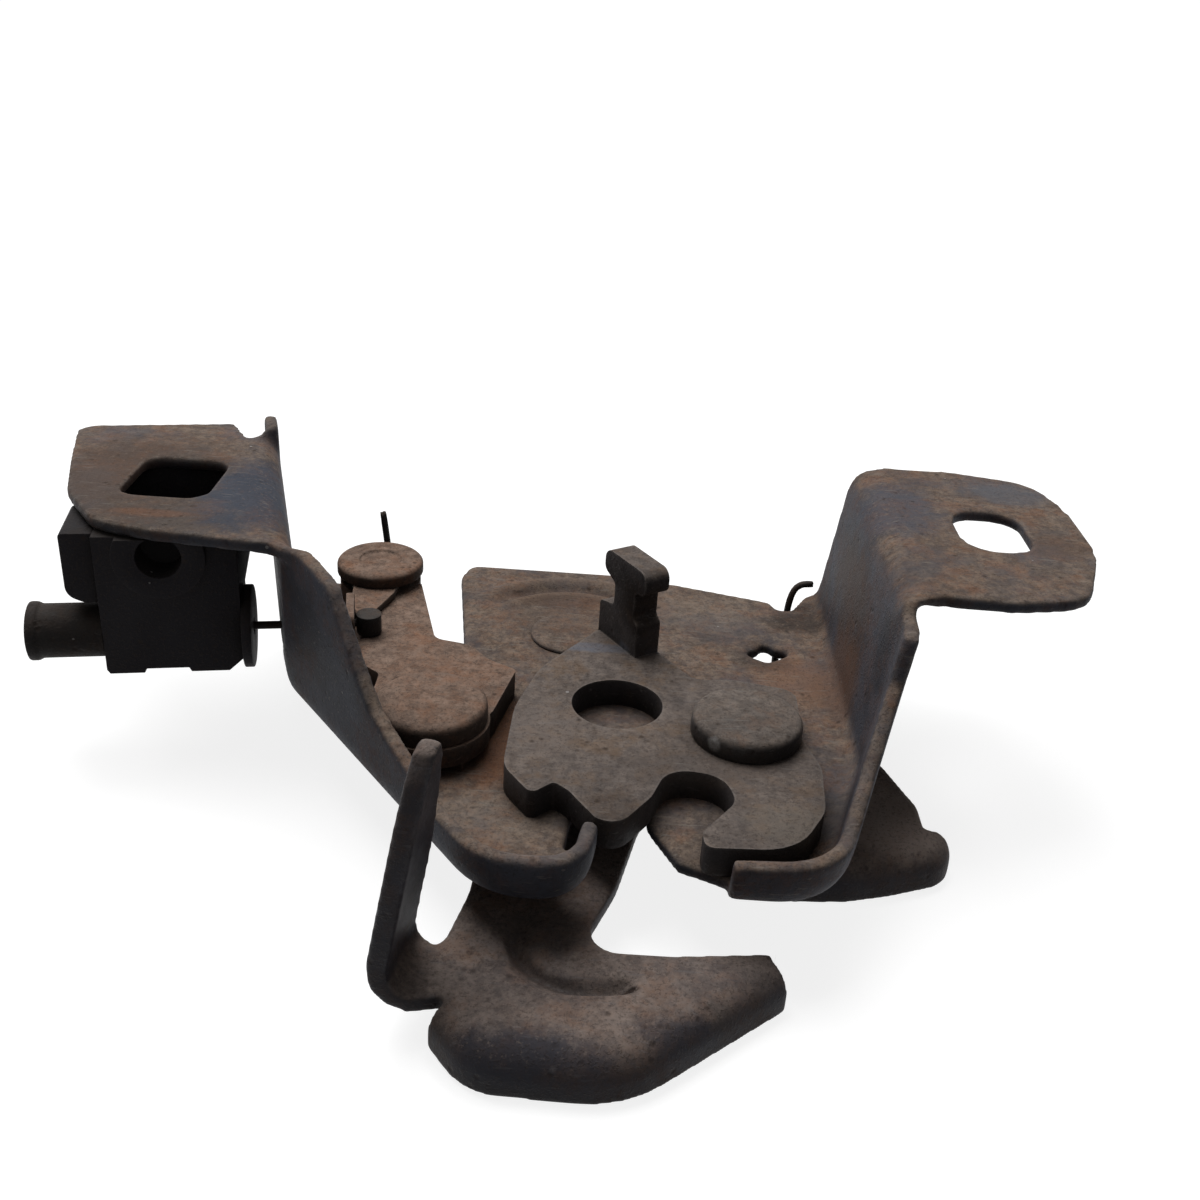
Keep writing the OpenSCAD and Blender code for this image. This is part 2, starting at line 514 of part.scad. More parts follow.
module arm_pin() {
    color([0.32, 0.26, 0.22]) in_frame() translate([arm_end.x, arm_end.y, 0]) rotate_extrude()
        polygon([[0, 0], [arm_pin_d / 2, 0], [arm_pin_d / 2, pawl_t + hook_t],
            [arm_disc_d / 2, pawl_t + hook_t], [arm_disc_d / 2, pawl_t + hook_t + arm_disc_t - 0.6],
            [arm_disc_d / 2 - 0.6, pawl_t + hook_t + arm_disc_t], [4.1, pawl_t + hook_t + arm_disc_t],
            [3.8, pawl_t + hook_t + arm_disc_t - 0.5], [0, pawl_t + hook_t + arm_disc_t - 0.3]]);
}

// Folded strip on the pawl's arm, with a fork that the wire's nipple pulls on
module cable_hook() {
    reach = nipple_d / 2 + 0.3 + hook_t;
    color([0.3, 0.25, 0.22]) in_frame() difference() {
        union() {
            plate(rounded([[-50.6, 46, 4], [-42.4, 46, 4], [-42.6, 32, 4], [-45.4, 22.6, 1],
                [-49.2, 22.6, 1], [-50.8, 34, 6]]), pawl_t, hook_t);
            on_cable(0) translate([-reach, -4.6, pawl_t - cable_z])
                rotate([90, 0, 90]) linear_extrude(hook_t)
                    polygon(rounded([[0, 0, 0], [10.4, 0, 0], [10.4, 5.6, 1.4], [0, 5.6, 1.4]]));
        }
        on_cable(0) translate([-reach - cut, -1.4, -1.1]) cube([hook_t + 2 * cut, 5.4, 2.2]);
        post(arm_end, pawl_t - cut, arm_pin_d, hook_t + 2 * cut);
    }
}

module wire_nipple() {
    color([0.4, 0.36, 0.3]) in_frame() difference() {
        post(nipple_at, cable_z - 1.8, nipple_d, 3.6);
        on_cable(0) tube_x(-nipple_d, 0.6, wire_d);
    }
}

module inner_wire() {
    color([0.35, 0.33, 0.31]) in_frame()
        on_cable(0) tube_x(-clamp_run - clamp_w + 0.5, 0.6, wire_d);
}

// Plastic block that hangs under the left flange and holds the end of the cable's outer tube
module clamp_housing() {
    top = flange_h - sheet_t - cable_z;
    foot = -5.6;
    wall = 1.4;
    color([0.12, 0.12, 0.12]) in_frame() on_cable(clamp_run) difference() {
        union() {
            rotate([90, 0, 0]) translate([0, 0, -clamp_front]) linear_extrude(clamp_front + 4.5)
                polygon([[-clamp_w, foot], [-clamp_w + 0.5, foot - 0.8], [-16.8, foot - 0.8],
                    [-16.4, foot], [-9.4, foot], [-9, foot - 0.8], [-2.6, foot - 0.8], [0, foot + 1.6],
                    [0, top], [-clamp_w, top]]);
            translate([-clamp_w, 0, clamp_deck]) cube([clamp_w, clamp_back, top - clamp_deck]);
            intersection() {
                translate([-12.4, -6, 16.2]) rotate([-90, 0, 0]) cylinder(d = 15, h = 4);
                translate([-clamp_w, -7, 0]) cube([clamp_w, 10, top]);
            }
        }
        translate([-12.4, -7, 16.2]) rotate([-90, 0, 0]) cylinder(d = 7.4, h = 7);
        translate([wall - clamp_w, clamp_front - 0.8, clamp_deck + 2])
            cube([clamp_w - 2 * wall, clamp_back - clamp_front + 0.8 - wall, top]);
        tube_x(-clamp_w - cut, cut, wire_d + 1.4);
    }
}

module clamp_cover() {
    top = flange_h - sheet_t - cable_z;
    color([0.14, 0.14, 0.14]) in_frame() on_cable(clamp_run) translate([-clamp_w, -3, 0])
        rotate([0, 0, 180]) rotate([90, 0, 0]) linear_extrude(12)
            polygon(rounded([[0, 6.6, 0], [0, top, 0], [5.4, top, 0.8], [5.4, 8, 2.6], [2.4, 6.6, 1]]));
}

module cable_ferrule() {
    color([0.2, 0.17, 0.16]) in_frame() on_cable(clamp_run + clamp_w) rotate([0, -90, 0])
        rotate_extrude() polygon([[ferrule_bore_d / 2, 0], [ferrule_d / 2, 0],
            [ferrule_d / 2, ferrule_len - 2], [ferrule_d / 2 + 0.4, ferrule_len - 1.4],
            [ferrule_d / 2 + 0.4, ferrule_len], [ferrule_bore_d / 2, ferrule_len]]);
}

// Thin disc on the wire side of the clamp
module ferrule_collar() {
    color([0.2, 0.18, 0.17]) in_frame() on_cable(clamp_run) difference() {
        tube_x(0, 1.6, 14.6);
        tube_x(-cut, 1.6 + cut, wire_d + 1.4);
    }
}

module claw_spring() {
    r = claw_pin_d / 2 + spring_d / 2 + 0.5;
    color([0.3, 0.28, 0.27]) in_frame() wire(concat(
        [[38.6, 50.4, 4.9], [36.6, 50.3, 4.9], [35.2, 50.1, 4.2], [34.4, 49.8, 2.6], [34, 49.6, 0],
            [33.9, 49.2, -2.2], [33.4, 47.8, coil_top - 0.2], [32.6, 45, coil_top - 0.2],
            [29.4, 31, coil_top], [27.9, 4, coil_top]],
        coil(claw_pivot, r, 0, -spring_turns, coil_top),
        [[claw_pivot.x - r, claw_pivot.y + 6, coil_top - coil_pitch * spring_turns]]),
        spring_d, [0, 0, 1]);
}

module pawl_spring() {
    r = pawl_pin_d / 2 + spring_d / 2 + 0.5;
    color([0.3, 0.28, 0.27]) in_frame() wire(concat(
        [[-48.2, 51.6, 14.2], [-47.5, 51.3, 9], [-46.8, 51, 3], [-46.6, 50.8, -1.2],
            [-46.4, 50, coil_top], [-45.8, 47.8, coil_top]],
        coil(pawl_pivot, r, 160, spring_turns, coil_top),
        [[pawl_pivot.x + 6, pawl_pivot.y - r, coil_top - coil_pitch * spring_turns]]),
        spring_d, [1, 0, 0]);
}

module catch_spring() {
    r = spacer_d / 2 + spring_d / 2 + 0.5;
    color([0.3, 0.28, 0.27]) in_frame() wire(concat(
        [[8, 48, coil_top], [2, 44, coil_top]],
        coil(catch_pivot, r, 60, spring_turns, coil_top)),
        spring_d, [0, 0, 1]);
}

base_plate();
claw();
pawl();
claw_rivet();
pawl_rivet();
safety_rivet();
catch_spacer();
catch_washer();
safety_catch();
arm_pin();
cable_hook();
wire_nipple();
inner_wire();
clamp_housing();
clamp_cover();
cable_ferrule();
ferrule_collar();
claw_spring();
pawl_spring();
catch_spring();
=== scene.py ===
# %% [markdown]
# # A worn hood latch
# The latch is a folded sheet bracket with a rotary claw, a pawl and a sprung safety catch. The
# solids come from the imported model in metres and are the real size, so nothing here moves or
# resizes them. This lesson softens their cut edges, gives each one its old paint, dust and
# rust, and sets up the picture.

# %% Load the latch
import json
import math

import bmesh
import bpy
from mathutils import Matrix, Vector


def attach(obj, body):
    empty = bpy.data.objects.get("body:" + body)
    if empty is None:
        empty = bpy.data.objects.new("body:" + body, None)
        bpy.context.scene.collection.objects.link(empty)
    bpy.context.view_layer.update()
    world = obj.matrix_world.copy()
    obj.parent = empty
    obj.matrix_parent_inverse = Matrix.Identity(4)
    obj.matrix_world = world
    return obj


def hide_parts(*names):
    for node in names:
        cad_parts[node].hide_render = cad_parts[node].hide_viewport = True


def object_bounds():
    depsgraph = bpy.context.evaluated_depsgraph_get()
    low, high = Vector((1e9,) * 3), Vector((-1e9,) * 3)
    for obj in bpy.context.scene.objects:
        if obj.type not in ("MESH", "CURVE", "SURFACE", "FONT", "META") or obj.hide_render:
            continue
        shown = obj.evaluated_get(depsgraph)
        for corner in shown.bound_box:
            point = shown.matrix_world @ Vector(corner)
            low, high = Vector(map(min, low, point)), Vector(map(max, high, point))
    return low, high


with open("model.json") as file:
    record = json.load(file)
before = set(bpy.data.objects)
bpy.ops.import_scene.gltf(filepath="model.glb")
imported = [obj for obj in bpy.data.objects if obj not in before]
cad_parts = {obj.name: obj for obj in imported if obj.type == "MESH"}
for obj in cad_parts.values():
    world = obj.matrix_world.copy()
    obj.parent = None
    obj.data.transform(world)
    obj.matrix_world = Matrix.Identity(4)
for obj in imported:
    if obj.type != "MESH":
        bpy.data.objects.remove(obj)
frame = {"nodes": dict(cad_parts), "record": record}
solid_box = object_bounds()
MM = 0.001

# %% [markdown]
# ## The camera
# The picture was taken from in front of the latch and a little above it, close enough for a
# strong perspective. The lens follows from how fast the latch's straight lines converge. The
# camera looks along +Y, nose down by the pitch, and is turned on its own axis by the roll. Its
# three directions are written straight into the object's matrix, which is exact and needs no
# tracking constraint.

# %% Place the camera
PICTURE_PX = 1200
FOCAL_PX = 1300
SENSOR_MM = 36
PITCH = math.radians(27.3)
ROLL = math.radians(3.8)
CAMERA_AT = Vector((4.0, -212.2, 90.5)) * MM

ahead = Vector((0, math.cos(PITCH), -math.sin(PITCH)))
level_up = Vector((0, math.sin(PITCH), math.cos(PITCH)))
right = Vector((1, 0, 0)) * math.cos(ROLL) + level_up * math.sin(ROLL)
upward = level_up * math.cos(ROLL) - Vector((1, 0, 0)) * math.sin(ROLL)

camera_data = bpy.data.cameras.new("camera")
camera_data.sensor_width = SENSOR_MM
camera_data.lens = SENSOR_MM * FOCAL_PX / PICTURE_PX
camera_data.clip_start = 0.01
camera = bpy.data.objects.new("camera", camera_data)
camera.matrix_world = Matrix.Translation(CAMERA_AT) @ Matrix((right, upward, -ahead)).transposed().to_4x4()
bpy.context.scene.collection.objects.link(camera)
bpy.context.scene.camera = camera
print("camera lens in mm:", round(camera_data.lens, 1))

# %% [markdown]
# ## Building materials from nodes
# All the finishes are made of nodes, with no pictures. Three short helpers keep that readable:
# one adds a node with its settings, one joins two sockets, and one starts a node group with
# named inputs and outputs. A group holds an effect that several finishes share.

# %% Helpers for nodes
def add_node(tree, kind, **settings):
    made = tree.nodes.new("ShaderNode" + kind)
    for name, value in settings.items():
        setattr(made, name, value)
    return made


def join(tree, source, target):
    tree.links.new(source, target)


def start_group(name, inputs, outputs):
    group = bpy.data.node_groups.new(name, "ShaderNodeTree")
    for label, kind, value in inputs:
        socket = group.interface.new_socket(name=label, in_out="INPUT", socket_type=kind)
        socket.default_value = value
    for label, kind in outputs:
        group.interface.new_socket(name=label, in_out="OUTPUT", socket_type=kind)
    return group, group.nodes.new("NodeGroupInput"), group.nodes.new("NodeGroupOutput")


NUMBER = "NodeSocketFloat"


def calculate(tree, operation, first, second, clamp=False):
    made = add_node(tree, "Math", operation=operation, use_clamp=clamp)
    for socket, value in zip(made.inputs, (first, second)):
        if isinstance(value, (int, float)):
            socket.default_value = value
        else:
            join(tree, value, socket)
    return made.outputs[0]


def stretch(tree, value, low, high):
    """The value as 0 below low and 1 above high, with a soft passage between them."""
    made = add_node(tree, "MapRange", interpolation_type="SMOOTHSTEP")
    join(tree, value, made.inputs["Value"])
    made.inputs["From Min"].default_value = low
    made.inputs["From Max"].default_value = high
    return made.outputs["Result"]


def cloud(tree, place, size_mm, detail=4.0, rough=0.6):
    """Noise whose patches are about size_mm across, on the object's own coordinates."""
    made = add_node(tree, "TexNoise")
    join(tree, place, made.inputs["Vector"])
    made.inputs["Scale"].default_value = 1 / (size_mm * MM)
    made.inputs["Detail"].default_value = detail
    made.inputs["Roughness"].default_value = rough
    return made.outputs["Fac"]


print("node helpers are ready")

# %% [markdown]
# ## Settled dust and painted top light
# Road dust lies on what faces up and falls off what stands upright, so its mask starts from the surface
# normal's upward part. This also makes upward faces lighter and upright faces darker, as painted top light
# and painted shade on the sides. Broad and fine noise then break it up, because years of handling wipe it
# away in patches.

# %% Dust and painted top light mask
def make_dust_group():
    inputs = [("Amount", NUMBER, 0.8), ("Patchiness", NUMBER, 0.4)]
    group, given, result = start_group("settled_dust_and_top_light", inputs, [("Mask", NUMBER)])
    place = add_node(group, "TexCoord").outputs["Object"]
    facing = add_node(group, "SeparateXYZ")
    join(group, add_node(group, "NewGeometry").outputs["Normal"], facing.inputs[0])
    lies = stretch(group, facing.outputs["Z"], 0.1, 0.85)
    patches = stretch(group, cloud(group, place, 16, 4, 0.65), 0.36, 0.58)
    speckle = stretch(group, cloud(group, place, 1.3, 3, 0.7), 0.2, 0.75)
    bare = calculate(group, "SUBTRACT", 1, patches)
    wiped = calculate(group, "MULTIPLY", bare, given.outputs["Patchiness"])
    kept = calculate(group, "SUBTRACT", given.outputs["Amount"], wiped, True)
    grain = calculate(group, "ADD", calculate(group, "MULTIPLY", speckle, 0.45), 0.6)
    mask = calculate(group, "MULTIPLY", calculate(group, "MULTIPLY", lies, kept), grain, True)
    join(group, mask, result.inputs["Mask"])
    return group


DUST_AND_TOP_LIGHT = make_dust_group()
print("made the group", DUST_AND_TOP_LIGHT.name)

# %% [markdown]
# ## Rust and painted shade in the corners
# Rust starts where water stays: round rivets, in folds and between plates. Ambient occlusion tells how
# closed in a point is. Noise picks the places in that, and a second, finer noise spreads a weak bloom over
# open metal. The same closed-in value, taken further, darkens the deepest gaps towards black as painted
# shade.

# %% Rust and painted shade masks
def make_rust_group():
    inputs = [("Corners", NUMBER, 0.6), ("Open", NUMBER, 0.2)]
    group, given, result = start_group("rust_and_painted_shade", inputs, [("Rust", NUMBER), ("Painted shade", NUMBER)])
    place = add_node(group, "TexCoord").outputs["Object"]
    hollow = add_node(group, "AmbientOcclusion", samples=1)
    hollow.inputs["Distance"].default_value = 6 * MM
    closed = calculate(group, "SUBTRACT", 1, hollow.outputs["AO"])
    broad = stretch(group, cloud(group, place, 11, 4, 0.7), 0.42, 0.62)
    fine = stretch(group, cloud(group, place, 1.3, 4, 0.75), 0.42, 0.6)
    inside = calculate(group, "MULTIPLY", stretch(group, closed, 0.06, 0.45), given.outputs["Corners"])
    outside = calculate(group, "MULTIPLY", broad, given.outputs["Open"])
    both = calculate(group, "ADD", calculate(group, "MULTIPLY", inside, broad), outside)
    broken = calculate(group, "ADD", calculate(group, "MULTIPLY", fine, 0.75), 0.35)
    join(group, calculate(group, "MULTIPLY", both, broken, True), result.inputs["Rust"])
    join(group, stretch(group, closed, 0.42, 0.9), result.inputs["Painted shade"])
    return group


RUST_AND_SHADE = make_rust_group()
print("made the group", RUST_AND_SHADE.name)

# %% [markdown]
# ## Worn edges and painted edge highlights
# Paint goes first along edges, where hands and tools rub it. The Bevel node gives the normal that a
# rounded edge would have; where it differs from the true normal, an edge is near. Noise breaks the line so
# that it doesn't look drawn. The pale colour laid along edges also stands in for the highlights that edges
# catch, as painted highlight.

# %% Edge mask and specks
def make_edge_group():
    inputs = [("Width", NUMBER, 0.7 * MM), ("Amount", NUMBER, 0.7)]
    group, given, result = start_group("edge_wear_and_highlight", inputs, [("Mask", NUMBER)])
    place = add_node(group, "TexCoord").outputs["Object"]
    rounded = add_node(group, "Bevel", samples=2)
    join(group, given.outputs["Width"], rounded.inputs["Radius"])
    compare = add_node(group, "VectorMath", operation="DOT_PRODUCT")
    join(group, rounded.outputs["Normal"], compare.inputs[0])
    join(group, add_node(group, "NewGeometry").outputs["Normal"], compare.inputs[1])
    near = stretch(group, calculate(group, "SUBTRACT", 1, compare.outputs["Value"]), 0.008, 0.09)
    breaks = stretch(group, cloud(group, place, 3.2, 3, 0.7), 0.36, 0.6)
    broken = calculate(group, "ADD", calculate(group, "MULTIPLY", breaks, 0.75), 0.2)
    worn = calculate(group, "MULTIPLY", near, broken)
    join(group, calculate(group, "MULTIPLY", worn, given.outputs["Amount"], True), result.inputs["Mask"])
    return group


def make_speck_group():
    group, given, result = start_group("pale_specks", [("Size", NUMBER, 0.12)], [("Mask", NUMBER)])
    place = add_node(group, "TexCoord").outputs["Object"]
    cells = add_node(group, "TexVoronoi")
    join(group, place, cells.inputs["Vector"])
    cells.inputs["Scale"].default_value = 1 / (7 * MM)
    chosen = add_node(group, "SeparateColor")
    join(group, cells.outputs["Color"], chosen.inputs[0])
    small = calculate(group, "LESS_THAN", cells.outputs["Distance"], given.outputs["Size"])
    few = calculate(group, "GREATER_THAN", chosen.outputs[0], 0.82)
    join(group, calculate(group, "MULTIPLY", small, few), result.inputs["Mask"])
    return group


EDGE_WEAR_AND_HIGHLIGHT = make_edge_group()
SPECKS = make_speck_group()
print("made the groups", EDGE_WEAR_AND_HIGHLIGHT.name, "and", SPECKS.name)

# %% [markdown]
# ## Marks in one place
# Some marks belong to one spot, such as the blue-black coat that survives beside the left bend; a few
# others darken upright faces as painted shade, and one lightens a shaded part as painted light. The mask
# is an ellipsoid round a centre, given in metres in the latch's own frame, and noise frays its rim. A
# pressed arc is a soft band at one radius round a centre, kept to one side, and its ends fade as the
# direction turns away from that side. It colours the press lines, whose ridges are pressed into the mesh
# further down; the dark colour in a groove or a crease is painted shade. Scratches are noise drawn out
# along one direction and cut off high, so that only thin streaks are left.

# %% Patches and scratches
TRIPLE = "NodeSocketVector"
BAND_ENDS = (0.5, 0.75)


def make_patch_group():
    inputs = [("Centre", TRIPLE, (0, 0, 0)), ("Size", TRIPLE, (1, 1, 1)), ("Ragged", NUMBER, 0.0)]
    group, given, result = start_group("local_patch", inputs, [("Mask", NUMBER)])
    place = add_node(group, "TexCoord").outputs["Object"]
    away = add_node(group, "VectorMath", operation="SUBTRACT")
    join(group, place, away.inputs[0])
    join(group, given.outputs["Centre"], away.inputs[1])
    scaled = add_node(group, "VectorMath", operation="DIVIDE")
    join(group, away.outputs["Vector"], scaled.inputs[0])
    join(group, given.outputs["Size"], scaled.inputs[1])
    reach = add_node(group, "VectorMath", operation="LENGTH")
    join(group, scaled.outputs["Vector"], reach.inputs[0])
    frayed = calculate(group, "ADD", reach.outputs["Value"], given.outputs["Ragged"])
    join(group, calculate(group, "SUBTRACT", 1, stretch(group, frayed, 0.45, 1.0)), result.inputs["Mask"])
    return group


def make_scratch_group():
    group, given, result = start_group("fine_scratches", [("Amount", NUMBER, 0.5)], [("Mask", NUMBER)])
    place = add_node(group, "TexCoord").outputs["Object"]
    total = None
    for angle, level in ((0.5, 0.66), (-0.9, 0.68)):
        turned = add_node(group, "Mapping")
        turned.inputs["Rotation"].default_value = (0, 0, angle)
        turned.inputs["Scale"].default_value = (0.12, 1, 1)
        join(group, place, turned.inputs["Vector"])
        streak = stretch(group, cloud(group, turned.outputs["Vector"], 0.7, 2, 0.5), level, level + 0.05)
        total = streak if total is None else calculate(group, "MAXIMUM", total, streak)
    join(group, calculate(group, "MULTIPLY", total, given.outputs["Amount"], True), result.inputs["Mask"])
    return group


def make_arc_group():
    inputs = [("Centre", TRIPLE, (0, 0, 0)), ("Toward", TRIPLE, (0, 1, 0)), ("Radius", NUMBER, 0.015),
              ("Width", NUMBER, 0.0015)]
    group, given, result = start_group("pressed_arc", inputs, [("Mask", NUMBER)])
    place = add_node(group, "TexCoord").outputs["Object"]
    away = add_node(group, "VectorMath", operation="SUBTRACT")
    join(group, place, away.inputs[0])
    join(group, given.outputs["Centre"], away.inputs[1])
    reach = add_node(group, "VectorMath", operation="LENGTH")
    join(group, away.outputs["Vector"], reach.inputs[0])
    off = calculate(group, "SUBTRACT", reach.outputs["Value"], given.outputs["Radius"])
    share = calculate(group, "DIVIDE", calculate(group, "ABSOLUTE", off, 0), given.outputs["Width"])
    ridge = stretch(group, calculate(group, "SUBTRACT", 1, share, True), 0, 1)
    side = add_node(group, "VectorMath", operation="DOT_PRODUCT")
    join(group, away.outputs["Vector"], side.inputs[0])
    join(group, given.outputs["Toward"], side.inputs[1])
    lean = calculate(group, "DIVIDE", side.outputs["Value"], reach.outputs["Value"])
    ends = stretch(group, lean, *BAND_ENDS)
    join(group, calculate(group, "MULTIPLY", ridge, ends), result.inputs["Mask"])
    return group


PATCH = make_patch_group()
ARC = make_arc_group()
SCRATCH = make_scratch_group()
print("made the groups", PATCH.name, ARC.name, "and", SCRATCH.name)

# %% [markdown]
# ## Relief
# Old sheet steel is never smooth: it has shallow waves from pressing, a fine orange-peel grain
# in the paint, small pits, and a skin of caked dust. One group adds these heights in
# millimetres for a Bump node.

# %% Height of grain, pits and waves
def make_relief_group():
    inputs = [("Grain", NUMBER, 0.05), ("Pits", NUMBER, 0.12), ("Waves", NUMBER, 0.25)]
    group, given, result = start_group("steel_relief", inputs, [("Height", NUMBER), ("Pit", NUMBER)])
    place = add_node(group, "TexCoord").outputs["Object"]
    grain = calculate(group, "MULTIPLY", cloud(group, place, 0.45, 2, 0.7), given.outputs["Grain"])
    waves = calculate(group, "MULTIPLY", cloud(group, place, 9, 2, 0.5), given.outputs["Waves"])
    cells = add_node(group, "TexVoronoi")
    join(group, place, cells.inputs["Vector"])
    cells.inputs["Scale"].default_value = 1 / (2.1 * MM)
    near = calculate(group, "SUBTRACT", 1, stretch(group, cells.outputs["Distance"], 0.05, 0.32))
    where = stretch(group, cloud(group, place, 7, 3, 0.7), 0.5, 0.62)
    pit = calculate(group, "MULTIPLY", near, where, True)
    deep = calculate(group, "MULTIPLY", pit, given.outputs["Pits"])
    total = calculate(group, "SUBTRACT", calculate(group, "ADD", grain, waves), deep)
    join(group, total, result.inputs["Height"])
    join(group, pit, result.inputs["Pit"])
    return group


RELIEF = make_relief_group()
print("made the group", RELIEF.name)

# %% [markdown]
# ## One finish for old painted and bare steel
# Every steel piece has the same layers from the metal up: a dark coat in two close tones, rust, dust that
# also serves as painted top light, rubbed edges that also serve as painted highlights, painted shade in
# the crevices and a few pale specks. The pieces differ only in colours and amounts, so one function builds
# the material and takes those as values. The Principled shader stays in the material, and its gloss is
# kept low, because dust scatters light.

# %% Layered finish
CRUMB_BROWN = (0.03, 0.023, 0.02)
PAINTED_SHADE_BLACK = (0.01, 0.008, 0.007)
PIT_BROWN = (0.02, 0.014, 0.011)
SPECK_GREY = (0.34, 0.33, 0.32)


def place_group(tree, group, **values):
    made = add_node(tree, "Group", node_tree=group)
    for label, value in values.items():
        made.inputs[label].default_value = value
    return made


def blend(tree, mask, under, over):
    """The colour under where the mask is 0 and the colour over where it is 1."""
    made = add_node(tree, "Mix", data_type="RGBA")
    for socket, value in zip((made.inputs[0], made.inputs[6], made.inputs[7]), (mask, under, over)):
        if isinstance(value, tuple):
            socket.default_value = (*value, 1)
        else:
            join(tree, value, socket)
    return made.outputs[2]


def blend_number(tree, mask, under, over):
    """The same for two numbers; a Mix node has other sockets for each kind of data."""
    made = add_node(tree, "Mix", data_type="FLOAT")
    for socket, value in zip((made.inputs[0], made.inputs[2], made.inputs[3]), (mask, under, over)):
        if isinstance(value, float):
            socket.default_value = value
        else:
            join(tree, value, socket)
    return made.outputs[0]


def worn_finish_and_painted_light(name, coat, coat_light, dust, dust_pale, rust, dust_amount=0.85, patchiness=0.4,
                corners=0.6, open_rust=0.2, edge=(0.2, 0.17, 0.15), edge_amount=0.7, edge_width=0.7,
                gloss=0.55, sheen=0.07, grain=0.07, pits=0.16, waves=0.25, scratches=0.3, patches=(),
                arcs=()):
    material = bpy.data.materials.new(name)
    material.use_nodes = True
    tree = material.node_tree
    shader = tree.nodes["Principled BSDF"]
    place = add_node(tree, "TexCoord").outputs["Object"]
    tone = stretch(tree, cloud(tree, place, 13, 4, 0.65), 0.35, 0.65)
    dust_and_top_light = place_group(tree, DUST_AND_TOP_LIGHT, Amount=dust_amount, Patchiness=patchiness).outputs["Mask"]
    closed = place_group(tree, RUST_AND_SHADE, Corners=corners, Open=open_rust)
    rusty = closed.outputs["Rust"]
    rubbed_edge_and_highlight = place_group(tree, EDGE_WEAR_AND_HIGHLIGHT, Width=edge_width * MM, Amount=edge_amount).outputs["Mask"]
    relief = place_group(tree, RELIEF, Grain=grain, Pits=pits, Waves=waves)
    shade = stretch(tree, cloud(tree, place, 2.4, 4, 0.78), 0.34, 0.66)
    colour = blend(tree, tone, coat, coat_light)
    # Dust colour on upward faces, which also serves as painted top light; upright faces keep the dark coat
    # as painted shade.
    colour = blend(tree, dust_and_top_light, colour, blend(tree, shade, dust, dust_pale))
    warm = stretch(tree, cloud(tree, place, 6.5, 4, 0.7), 0.48, 0.66)
    warm = calculate(tree, "MULTIPLY", calculate(tree, "MULTIPLY", warm, dust_and_top_light), 0.52)
    colour = blend(tree, warm, colour, rust)
    ragged = calculate(tree, "SUBTRACT", cloud(tree, place, 5, 5, 0.72), 0.5)
    for centre, size, patch_colour, strength in patches:
        spot = place_group(tree, PATCH, Centre=tuple(Vector(centre) * MM), Size=tuple(Vector(size) * MM))
        join(tree, ragged, spot.inputs["Ragged"])
        mask = calculate(tree, "MULTIPLY", spot.outputs["Mask"], strength)
        colour = blend(tree, mask, colour, patch_colour)
    # Pale stain on the ridges; the dark colour in a groove or crease is painted shade.
    for centre, toward, radius, width, _, stain_and_shade in arcs:
        band = place_group(tree, ARC, Centre=tuple(Vector(centre) * MM), Toward=toward, Radius=radius * MM,
                           Width=width * MM).outputs["Mask"]
        colour = blend(tree, calculate(tree, "MULTIPLY", band, 0.5), colour, stain_and_shade)
    colour = blend(tree, rusty, colour, rust)
    crumbs = stretch(tree, cloud(tree, place, 0.55, 2, 0.8), 0.5, 0.68)
    colour = blend(tree, calculate(tree, "MULTIPLY", crumbs, 0.42), colour, CRUMB_BROWN)
    chalk = stretch(tree, cloud(tree, place, 0.85, 2, 0.8), 0.56, 0.72)
    chalk = calculate(tree, "MULTIPLY", calculate(tree, "MULTIPLY", chalk, dust_and_top_light), 0.4)
    colour = blend(tree, chalk, colour, dust_pale)
    scored = place_group(tree, SCRATCH, Amount=scratches).outputs["Mask"]
    colour = blend(tree, scored, colour, edge)
    # Rubbed edges in a pale colour, which also serves as painted edge highlight.
    colour = blend(tree, rubbed_edge_and_highlight, colour, edge)
    # Painted shade: the most closed-in gaps are darkened towards black.
    painted_shade = calculate(tree, "MULTIPLY", closed.outputs["Painted shade"], 0.85)
    colour = blend(tree, painted_shade, colour, PAINTED_SHADE_BLACK)
    pitted = calculate(tree, "MULTIPLY", relief.outputs["Pit"], 0.6)
    colour = blend(tree, pitted, colour, PIT_BROWN)
    speck = place_group(tree, SPECKS, Size=0.045).outputs["Mask"]
    colour = blend(tree, calculate(tree, "MULTIPLY", speck, 0.5), colour, SPECK_GREY)
    join(tree, colour, shader.inputs["Base Color"])
    rough = blend_number(tree, dust_and_top_light, gloss, 0.92)
    rough = blend_number(tree, rusty, rough, 0.95)
    rough = blend_number(tree, rubbed_edge_and_highlight, rough, 0.38)
    join(tree, rough, shader.inputs["Roughness"])
    join(tree, calculate(tree, "MULTIPLY", rubbed_edge_and_highlight, 0.45), shader.inputs["Metallic"])
    shader.inputs["Specular IOR Level"].default_value = sheen
    bump = add_node(tree, "Bump")
    bump.inputs["Strength"].default_value = 0.7
    bump.inputs["Distance"].default_value = MM
    height = calculate(tree, "ADD", relief.outputs["Height"], calculate(tree, "MULTIPLY", crumbs, 0.06))
    join(tree, height, bump.inputs["Height"])
    join(tree, bump.outputs["Normal"], shader.inputs["Normal"])
    return material


print("the layered finish is ready")
